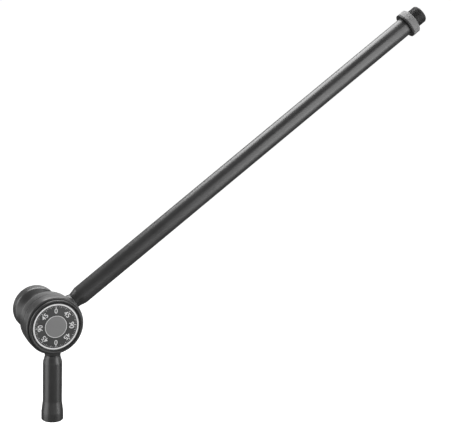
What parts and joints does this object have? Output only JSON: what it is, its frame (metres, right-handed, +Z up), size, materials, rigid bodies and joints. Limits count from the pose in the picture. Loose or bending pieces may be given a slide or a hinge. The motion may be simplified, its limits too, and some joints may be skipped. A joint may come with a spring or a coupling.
{
  "type": "microphone stand mini boom arm",
  "caption": "Short fixed-length boom arm that screws onto a microphone stand, with a knob-tightened tilting clutch and a threaded stud with a knurled lock ring at the far end.",
  "frame": {"origin": "centre of the mouth of the stem's threaded socket, where the part screws onto a stand", "axes": "+Z up along the stem's axis, +X the way the arm reaches out, +Y from the dial towards the knob, along the clutch's axis"},
  "size_m": [0.3658, 0.0574, 0.3317],
  "materials": {
    "black_coat": "satin black powder coat",
    "black_cast": "satin black enamel on a zinc casting",
    "black_plastic": "moulded black plastic",
    "grey_dial": "printed grey dial",
    "bright_zinc": "knurled grey zinc plating",
    "black_oxide": "blackened steel",
    "plain_steel": "zinc-plated steel",
    "spring_steel": "oiled spring steel",
    "brass": "turned brass",
    "fibre": "pressed brown fibre",
    "nylon": "natural nylon"
  },
  "bodies": {
    "stem": {"stem_tube": "black_coat", "front_casting": "black_cast", "front_cap": "black_plastic", "dial_label": "grey_dial", "clutch_bolt": "plain_steel", "backing_washer": "plain_steel", "front_friction_disc": "fibre", "separator_spring": "spring_steel"},
    "clutch_stack": {"pivot_sleeve": "brass", "nylon_washer": "nylon", "thrust_washer": "plain_steel", "disc_spring": "spring_steel"},
    "arm": {"rear_casting": "black_cast", "rear_friction_disc": "fibre", "arm_tube": "black_coat", "stud_plug": "black_oxide"},
    "knob": {"knob": "black_cast", "knob_insert": "brass", "knob_cap": "black_plastic"},
    "lock_ring": {"lock_ring": "bright_zinc"}
  },
  "joints": [
    {"name": "clutch_travel", "type": "slide", "parent": "stem", "child": "clutch_stack", "axis": [0, 1, 0], "range_m": [0, 0.00125]},
    {"name": "arm_tilt", "type": "hinge", "parent": "clutch_stack", "child": "arm", "pos_m": [0, -0.008, 0.0835], "axis": [0, -1, 0], "range_deg": [-95, 205]},
    {"name": "knob_turn", "type": "hinge", "parent": "clutch_stack", "child": "knob", "pos_m": [0, -0.008, 0.0835], "axis": [0, 1, 0], "range_deg": [0, 360]},
    {"name": "lock_ring_turn", "type": "hinge", "parent": "arm", "child": "lock_ring", "pos_m": [0.32305, 0.0082, 0.31563], "axis": [0.8121, 0, 0.5835], "range_deg": [0, 360]}
  ],
  "couplings": [
    {"joint": "clutch_travel", "follows": "knob_turn", "m_per_rad": 0.00019894}
  ]
}
